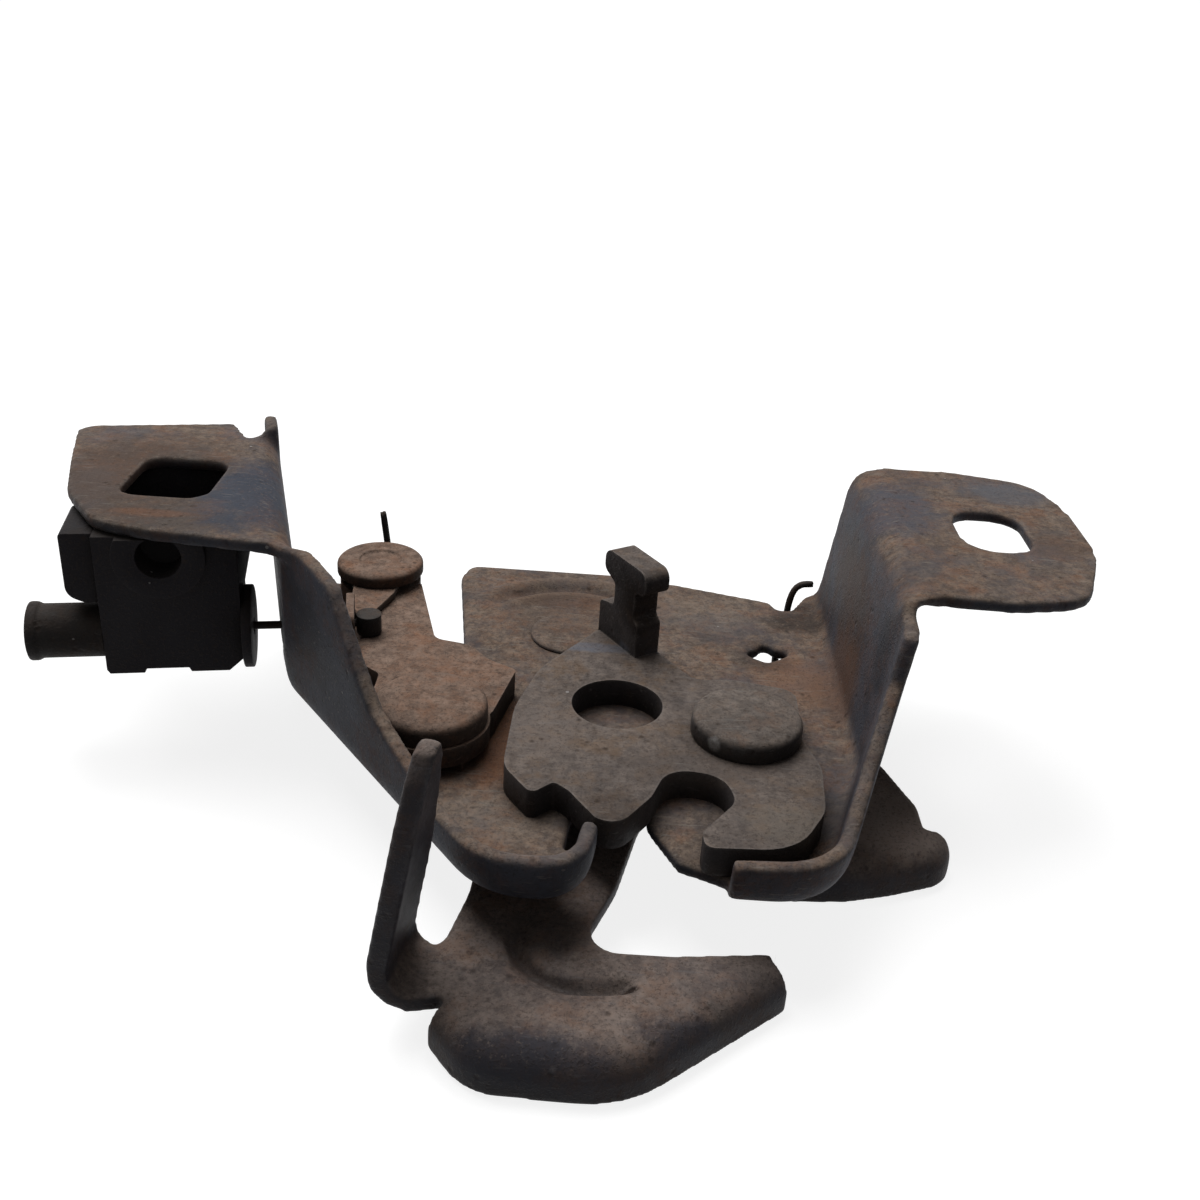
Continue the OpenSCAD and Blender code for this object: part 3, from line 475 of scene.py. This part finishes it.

# %% [markdown]
# ## The marks of this latch
# Colours are written as linear values, close to what the picture shows on faces that look up. Each mark
# lists its centre and its reach in millimetres, its colour and its strength; most are stains, dust or
# paint, while a few darken upright faces as painted shade and one lightens the catch's tail as painted
# light. A pressed band lists its centre, the side it keeps to, its radius, half its width, its lift in
# millimetres and its stain; the dark stain in a groove or crease is painted shade. The bracket's bands are
# the double arc behind the claw, and the safety catch's is the crease in the root of its hook.

# %% Marks and pressed bands
BLUE_BLACK = (0.055, 0.062, 0.08)
# A near-black used for soot in some marks and as painted shade in others.
SOOT_AND_SHADE = (0.022, 0.018, 0.017)
ORANGE = (0.2, 0.085, 0.04)
BROWN = (0.075, 0.048, 0.036)
PALE = (0.2, 0.165, 0.135)
BRACKET_MARKS_AND_SHADE = [
    ((-78, -2, 0), (24, 26, 4), (0.054, 0.043, 0.038), 0.7),
    ((-66, -18, 0), (16, 7, 3), (0.055, 0.047, 0.043), 0.7),
    ((-3, 10, -29), (17, 13, 3), (0.07, 0.052, 0.043), 0.45),
    ((-56, -4, 0), (13, 22, 9), (0.04, 0.047, 0.063), 0.93),
    ((-84, 2, 0), (11, 20, 4), BROWN, 0.45),
    ((-71, -16, 0), (9, 2, 2), ORANGE, 0.3),
    ((56, 8, 0), (11, 17, 8), BLUE_BLACK, 0.75),
    ((80, 18, 0), (10, 8, 3), (0.085, 0.088, 0.1), 0.7),
    ((82, -6, 0), (9, 6, 3), BROWN, 0.5),
    ((50, -10, -27), (9, 17, 12), (0.105, 0.062, 0.045), 0.75),
    ((-11, -33, -29), (8, 16, 4), ORANGE, 0.7),
    ((44, 15, -29), (9, 6, 5), SOOT_AND_SHADE, 0.7),
    ((40, -8, -29), (9, 12, 3), (0.17, 0.095, 0.06), 0.55),
    ((-4, 19, -29), (16, 6, 4), BROWN, 0.6),
    ((-10, -54, -29), (13, 9, 3), PALE, 0.2),
    ((24, 16, -29), (13, 9, 3), PALE, 0.2),
    # Painted shade: darkens the inner face of the right wing.
    ((47, 2, -14), (10, 24, 11), (0.05, 0.034, 0.028), 0.8),
    ((35, -1, -29), (7, 5, 3), SOOT_AND_SHADE, 0.4),
    # Painted shade: darkens the upright face of the left wing.
    ((-40, -10, -14), (9, 30, 14), SOOT_AND_SHADE, 0.5),
    ((58, -30, -10), (9, 30, 14), (0.05, 0.042, 0.038), 0.55),
]
# The middle band is a groove, and its dark colour is painted shade; the outer two are ridges with a pale
# stain.
PRESSED_ARCS = [
    ((-1, 4, -29), (0, 1, 0), 22.6, 2.2, 0.5, (0.13, 0.09, 0.066)),
    ((-1, 4, -29), (0, 1, 0), 19.6, 1.6, -0.25, (0.07, 0.045, 0.034)),
    ((-1, 4, -29), (0, 1, 0), 16.4, 2.2, 0.5, (0.13, 0.09, 0.066)),
]
# The crease's dark colour is painted shade.
CATCH_CREASE = [((6, -67.5, -37.6), (-0.42, -0.91, 0), 12, 1.6, -0.8, (0.03, 0.024, 0.022))]
CATCH_MARKS_AND_LIGHT = [
    # The rolled edge keeps its blue-black coat clear of dust and is darkened as painted shade.
    ((-2, -91, -39), (15, 5.5, 5), (0.03, 0.03, 0.038), 0.9),
    ((20, -86, -40), (13, 4.5, 5), (0.03, 0.03, 0.038), 0.85),
    ((11.5, -79, -37.6), (1.6, 0.9, 2), (0.004, 0.003, 0.003), 1.0),
    # Painted light: lightens the catch's tail, which lies in the bracket's shadow.
    ((54, -37, -37), (13, 15, 4), (0.26, 0.21, 0.185), 0.9),
    ((2, -92.5, -38), (1.2, 0.8, 2), (0.2, 0.2, 0.21), 0.6),
]
CLAW_MARKS_AND_SHADE = [
    ((3, -9, -24), (17, 2.2, 2), (0.1, 0.105, 0.125), 0.75),
    ((-4, -36, -24), (9, 9, 3), (0.14, 0.117, 0.105), 0.5),
    ((20, -45, -24), (14, 6, 3), (0.085, 0.07, 0.062), 0.5),
    ((7, -57, -24), (8, 6, 3), SOOT_AND_SHADE, 0.35),
    ((36, -58, -24), (11, 7, 3), (0.14, 0.12, 0.1), 0.45),
    # Painted shade: darkens the front of the claw's tab.
    ((12, -12, -15), (14, 6, 6.5), SOOT_AND_SHADE, 0.9),
]
CLAW_RIVET_CHIP = [((23, -41, -22), (2, 1.3, 1.6), (0.4, 0.39, 0.38), 0.7)]
marks = {"bracket": len(BRACKET_MARKS_AND_SHADE), "catch": len(CATCH_MARKS_AND_LIGHT), "claw": len(CLAW_MARKS_AND_SHADE)}
print("marks in one place:", marks)

# %% [markdown]
# ## The colours of this latch
# The bracket keeps most of its blue-black coat on the flanges, under a thin grey-brown dust.
# The claw is greyer and smoother, the pawl redder, and the safety catch has the darkest coat, while its
# dust is lighter than the bracket's, partly as painted light where the bracket shades it. The clamp is
# black plastic. One table with a name for each finish keeps them apart from the pieces, so that two pieces
# can share one.

# %% Finishes
FINISHES = {}
FINISHES["bracket"] = worn_finish_and_painted_light(
    "bracket_paint", coat=(0.028, 0.029, 0.036), coat_light=(0.055, 0.058, 0.072),
    dust=(0.096, 0.07, 0.053), dust_pale=(0.21, 0.158, 0.12), rust=(0.165, 0.078, 0.042),
    dust_amount=0.9, patchiness=0.55, corners=1.0, open_rust=0.2, edge=(0.2, 0.18, 0.16),
    edge_amount=0.8, patches=BRACKET_MARKS_AND_SHADE, arcs=PRESSED_ARCS)
FINISHES["claw"] = worn_finish_and_painted_light(
    "claw_coat", coat=(0.03, 0.027, 0.028), coat_light=(0.062, 0.055, 0.055), dust=(0.098, 0.08, 0.07),
    dust_pale=(0.17, 0.14, 0.122), rust=(0.13, 0.08, 0.045), dust_amount=0.95, patchiness=0.3,
    corners=0.45, open_rust=0.12, edge=(0.17, 0.155, 0.145), edge_amount=0.6, waves=0.12, scratches=0.25,
    patches=CLAW_MARKS_AND_SHADE)
FINISHES["pawl"] = worn_finish_and_painted_light(
    "pawl_coat", coat=(0.03, 0.024, 0.022), coat_light=(0.07, 0.052, 0.043), dust=(0.13, 0.088, 0.067),
    dust_pale=(0.25, 0.175, 0.135), rust=(0.19, 0.09, 0.05), dust_amount=0.98, patchiness=0.25,
    corners=0.7, open_rust=0.3, edge=(0.2, 0.155, 0.13), edge_amount=0.5, waves=0.15)
FINISHES["rivet"] = worn_finish_and_painted_light(
    "rivet_steel", coat=(0.035, 0.033, 0.034), coat_light=(0.07, 0.066, 0.064), dust=(0.1, 0.082, 0.07),
    dust_pale=(0.175, 0.145, 0.125), rust=(0.14, 0.08, 0.05), dust_amount=0.92, patchiness=0.3,
    corners=0.3, open_rust=0.12, edge=(0.2, 0.19, 0.18), edge_amount=0.6, gloss=0.42, waves=0.3,
    scratches=0.25, patches=CLAW_RIVET_CHIP)
# The catch's dust colours are partly painted light against the bracket's shadow.
FINISHES["catch"] = worn_finish_and_painted_light(
    "catch_paint", coat=(0.014, 0.013, 0.016), coat_light=(0.035, 0.033, 0.04), dust=(0.125, 0.099, 0.087),
    dust_pale=(0.21, 0.168, 0.146), rust=(0.15, 0.085, 0.055), dust_amount=0.95, patchiness=0.35,
    corners=0.6, open_rust=0.16, edge=(0.13, 0.125, 0.13), edge_amount=0.6, gloss=0.5, sheen=0.1,
    scratches=0.2, patches=CATCH_MARKS_AND_LIGHT, arcs=CATCH_CREASE)
FINISHES["plastic"] = worn_finish_and_painted_light(
    "clamp_plastic", coat=(0.006, 0.005, 0.0065), coat_light=(0.011, 0.01, 0.012),
    dust=(0.03, 0.025, 0.022), dust_pale=(0.05, 0.042, 0.036), rust=(0.03, 0.02, 0.015),
    dust_amount=0.4, patchiness=0.4, corners=0.2, open_rust=0.02, edge=(0.035, 0.03, 0.03),
    edge_amount=0.35, gloss=0.6, sheen=0.08, pits=0.02, waves=0.06, scratches=0.1)
FINISHES["ferrule"] = worn_finish_and_painted_light(
    "ferrule_metal", coat=(0.012, 0.011, 0.011), coat_light=(0.022, 0.02, 0.019),
    dust=(0.04, 0.032, 0.028), dust_pale=(0.065, 0.052, 0.045), rust=(0.06, 0.034, 0.02),
    dust_amount=0.4, patchiness=0.4, corners=0.3, open_rust=0.2, edge=(0.07, 0.06, 0.055),
    edge_amount=0.5)
FINISHES["wire"] = worn_finish_and_painted_light(
    "spring_wire", coat=(0.012, 0.012, 0.013), coat_light=(0.03, 0.029, 0.029), dust=(0.05, 0.042, 0.036),
    dust_pale=(0.08, 0.067, 0.057), rust=(0.1, 0.055, 0.03), dust_amount=0.45, patchiness=0.3,
    corners=0.3, open_rust=0.25, edge_amount=0.0, gloss=0.45, waves=0.02, pits=0.03, scratches=0.0)
print("finishes:", ", ".join(FINISHES))

# %% [markdown]
# ## Softening the cut edges
# The solids have knife-sharp edges. Stamped and worn steel has edges rounded by a few tenths of
# a millimetre, and they catch the light. Each solid is copied, its doubled points are merged,
# flat faces are joined up, and every edge that turns sharply is bevelled. The copy stands in
# the same place and hides the solid.

# %% Edge softener
DOUBLES_MM = 0.002
FLAT_DEGREES = 0.4
SHADING_BREAK_DEGREES = 32


def soften(node, finish, width=0.35, segments=2, sharp=26):
    solid = frame["nodes"][node]
    mesh = solid.data.copy()
    mesh.materials.clear()
    mesh.materials.append(FINISHES[finish])
    piece = bpy.data.objects.new(node + "_worn", mesh)
    bpy.context.scene.collection.objects.link(piece)
    form = bmesh.new()
    form.from_mesh(mesh)
    bmesh.ops.remove_doubles(form, verts=form.verts, dist=DOUBLES_MM * MM)
    bmesh.ops.dissolve_limit(form, angle_limit=math.radians(FLAT_DEGREES), verts=form.verts,
                             edges=form.edges, use_dissolve_boundaries=False, delimit=set())
    turned = [e for e in form.edges if e.is_manifold and e.calc_face_angle() > math.radians(sharp)]
    bmesh.ops.bevel(form, geom=turned, offset=width * MM, offset_type="OFFSET", affect="EDGES",
                    segments=segments, profile=0.5, clamp_overlap=True, material=-1)
    bmesh.ops.triangulate(form, faces=[f for f in form.faces if len(f.verts) > 4])
    for face in form.faces:
        face.smooth = True
        face.material_index = 0
    smooth_below = math.radians(SHADING_BREAK_DEGREES)
    for edge in form.edges:
        edge.smooth = not edge.is_manifold or edge.calc_face_angle() < smooth_below
    form.to_mesh(mesh)
    form.free()
    body = next(b for b, names in frame["record"]["behaviour"]["bodies"].items() if node in names)
    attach(piece, body)
    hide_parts(node)
    print(f"{node}: {len(mesh.polygons)} faces, {len(turned)} edges softened")
    return piece


print("the edge softener is ready")

# %% [markdown]
# ## The stamped and turned pieces
# The claw, the pawl, the rivets and pins and the cable's end parts keep the shape of their
# solids. Each gets a finish and an edge width in millimetres: the thick claw and pawl are well
# rounded, and thin washers and collars only a little, because a wide bevel would eat them.

# %% Dress the solids
LOOKS = {
    "claw": ("claw", 0.55), "pawl": ("pawl", 0.55), "claw_rivet": ("rivet", 0.6),
    "pawl_rivet": ("pawl", 0.6), "safety_rivet": ("bracket", 0.3), "catch_spacer": ("rivet", 0.3),
    "catch_washer": ("rivet", 0.2), "arm_pin": ("pawl", 0.35),
    "cable_hook": ("pawl", 0.3), "wire_nipple": ("wire", 0.3), "clamp_housing": ("plastic", 0.4),
    "clamp_cover": ("plastic", 0.3), "cable_ferrule": ("ferrule", 0.3), "ferrule_collar": ("plastic", 0.2),
}
for name, (finish, width) in LOOKS.items():
    soften(name, finish, width)

# %% [markdown]
# ## Pressed and worn sheet
# The bracket and the safety catch are pressed from sheet, and years of dirt and wear have made
# their edges far rounder than a cut edge. A voxel remesh turns each solid into an even net of
# small faces, and a smooth modifier then draws that net together, which rounds every edge. It
# can only shrink outer edges, so the sheet stays inside its solid there.
#
# The net is fine enough to press ridges and creases into. Every point on the upper side that
# lies in one of the bands moves up or down by the band's soft profile, as the press tool did.

# %% Round the sheet over and press it
FACES_UP = 0.4
BAND_DEPTH_MM = 2


def soft_step(value, low, high):
    share = min(1.0, max(0.0, (value - low) / (high - low)))
    return share * share * (3 - 2 * share)


def press(mesh, bands):
    moved = 0
    for centre, toward, radius, width, lift, _ in bands:
        middle = Vector(centre) * MM
        aim = Vector(toward)
        upper = [vert for vert in mesh.vertices if vert.normal.z > FACES_UP]
        for vert in upper:
            away = vert.co - middle
            if abs(away.z) > BAND_DEPTH_MM * MM:
                continue
            inside = 1 - abs(away.length - radius * MM) / (width * MM)
            if inside <= 0:
                continue
            ends = soft_step(away.dot(aim) / away.length, *BAND_ENDS)
            vert.co.z += lift * MM * soft_step(inside, 0, 1) * ends
            moved += 1
    return moved


def melt(node, finish, voxel, rounds, bands):
    piece = soften(node, finish, 0.3, 1)
    net = piece.modifiers.new("net", "REMESH")
    net.mode = "VOXEL"
    net.voxel_size = voxel * MM
    net.use_smooth_shade = True
    relax = piece.modifiers.new("relax", "SMOOTH")
    relax.factor = 0.5
    relax.iterations = rounds
    bpy.context.view_layer.update()
    finished = piece.evaluated_get(bpy.context.evaluated_depsgraph_get())
    rounded = bpy.data.meshes.new_from_object(finished)
    piece.modifiers.clear()
    piece.data = rounded
    moved = press(rounded, bands)
    print(f"{node}: net of {len(rounded.polygons)} faces, {moved} points pressed")


melt("safety_catch", "catch", 0.42, 14, CATCH_CREASE)
melt("base_plate", "bracket", 0.64, 9, PRESSED_ARCS)

# %% [markdown]
# ## Round wire
# The springs' wire has only a few flat sides in the solid, and a subdivision surface makes it
# round. It pulls a tube in a little, so the points are first pushed out along their normals by
# the share that it takes back. The cable's wire is straight and round enough already, so only
# its ends are softened.

# %% Springs and wire
ROUNDING_LOSS = 0.06
SPRING_RADIUS_MM = 0.7


def round_wire(node):
    piece = soften(node, "wire", 0.05, 1, 100)
    form = bmesh.new()
    form.from_mesh(piece.data)
    for vert in form.verts:
        vert.co += vert.normal * SPRING_RADIUS_MM * ROUNDING_LOSS * MM
    form.to_mesh(piece.data)
    form.free()
    smooth = piece.modifiers.new("round", "SUBSURF")
    smooth.levels = 1
    smooth.render_levels = 1


for name in ("claw_spring", "pawl_spring", "catch_spring"):
    round_wire(name)
soften("inner_wire", "wire", 0.1, 1)

# %% [markdown]
# ## Floor, light and background
# The latch is bolted up by its flanges in use and lies on its safety catch here. The floor is
# just below its lowest point. To the camera and to reflections the floor and the far background
# are white, and to all other light they are a plain grey, so that the undersides stay as dark
# as they are in the picture. One wide lamp above and behind gives the soft top light, and a
# weak one in front opens the shadows.

# %% Floor
low_z = min(corner[2] for corner in solid_box)
FLOOR_SIDE = 80.0
FLOOR_GAP_MM = 0.4
plane = bmesh.new()
bmesh.ops.create_grid(plane, x_segments=1, y_segments=1, size=FLOOR_SIDE / 2)
bmesh.ops.translate(plane, verts=plane.verts, vec=(0, 0, low_z - FLOOR_GAP_MM * MM))
floor_mesh = bpy.data.meshes.new("floor")
plane.to_mesh(floor_mesh)
plane.free()
floor = bpy.data.objects.new("floor", floor_mesh)
bpy.context.scene.collection.objects.link(floor)
print("floor at", round(low_z / MM, 1), "mm")


# %% White to the eye, grey to the light
def seen_directly(tree):
    path = add_node(tree, "LightPath")
    either = calculate(tree, "ADD", path.outputs["Is Camera Ray"], path.outputs["Is Glossy Ray"], True)
    return calculate(tree, "ADD", either, path.outputs["Is Transmission Ray"], True)


FLOOR_GLOW_NEAR = 0.84
ROOM_LIGHT = 0.085
paper = bpy.data.materials.new("floor_paper")
paper.use_nodes = True
tree = paper.node_tree
shader = tree.nodes["Principled BSDF"]
shader.inputs["Roughness"].default_value = 0.9
shader.inputs["Specular IOR Level"].default_value = 0.0
seen = seen_directly(tree)
join(tree, blend(tree, seen, (0.16, 0.16, 0.16), (0.3, 0.3, 0.3)), shader.inputs["Base Color"])
glow = add_node(tree, "Emission")
glow.inputs["Color"].default_value = (1, 1, 1, 1)
ground = add_node(tree, "VectorMath", operation="LENGTH")
join(tree, add_node(tree, "TexCoord").outputs["Object"], ground.inputs[0])
far = stretch(tree, ground.outputs["Value"], 0.25, 0.8)
glow_strength = blend_number(tree, far, FLOOR_GLOW_NEAR, 1.0)
join(tree, calculate(tree, "MULTIPLY", seen, glow_strength), glow.inputs["Strength"])
total = add_node(tree, "AddShader")
join(tree, shader.outputs[0], total.inputs[0])
join(tree, glow.outputs[0], total.inputs[1])
join(tree, total.outputs[0], tree.nodes["Material Output"].inputs["Surface"])
floor_mesh.materials.append(paper)

world = bpy.data.worlds.new("studio")
world.use_nodes = True
tree = world.node_tree
background = tree.nodes["Background"]
background.inputs["Color"].default_value = (1, 1, 1, 1)
join(tree, blend_number(tree, seen_directly(tree), ROOM_LIGHT, 1.0), background.inputs["Strength"])
bpy.context.scene.world = world
print("room light on the latch:", ROOM_LIGHT)

# %% Lamps
LAMPS_AIM = Vector((0, 0, -0.03))


def soft_lamp(name, place, side, power):
    data = bpy.data.lights.new(name, "AREA")
    data.size = side
    data.energy = power
    lamp = bpy.data.objects.new(name, data)
    lamp.location = place
    lamp.rotation_euler = (LAMPS_AIM - Vector(place)).to_track_quat("-Z", "Y").to_euler()
    bpy.context.scene.collection.objects.link(lamp)


soft_lamp("top_lamp", (-0.25, 0.35, 0.95), 0.8, 15)
soft_lamp("front_lamp", (0.5, -0.9, 0.6), 0.9, 0.35)
bpy.context.scene.view_settings.view_transform = "Standard"

# %% [markdown]
# ## The solids' box
# The box round the solids, taken before they were dressed, is printed in metres. The
# dressed latch may not be larger than its solids.

# %% Finish
print("solids:", [[round(v, 4) for v in c] for c in solid_box])
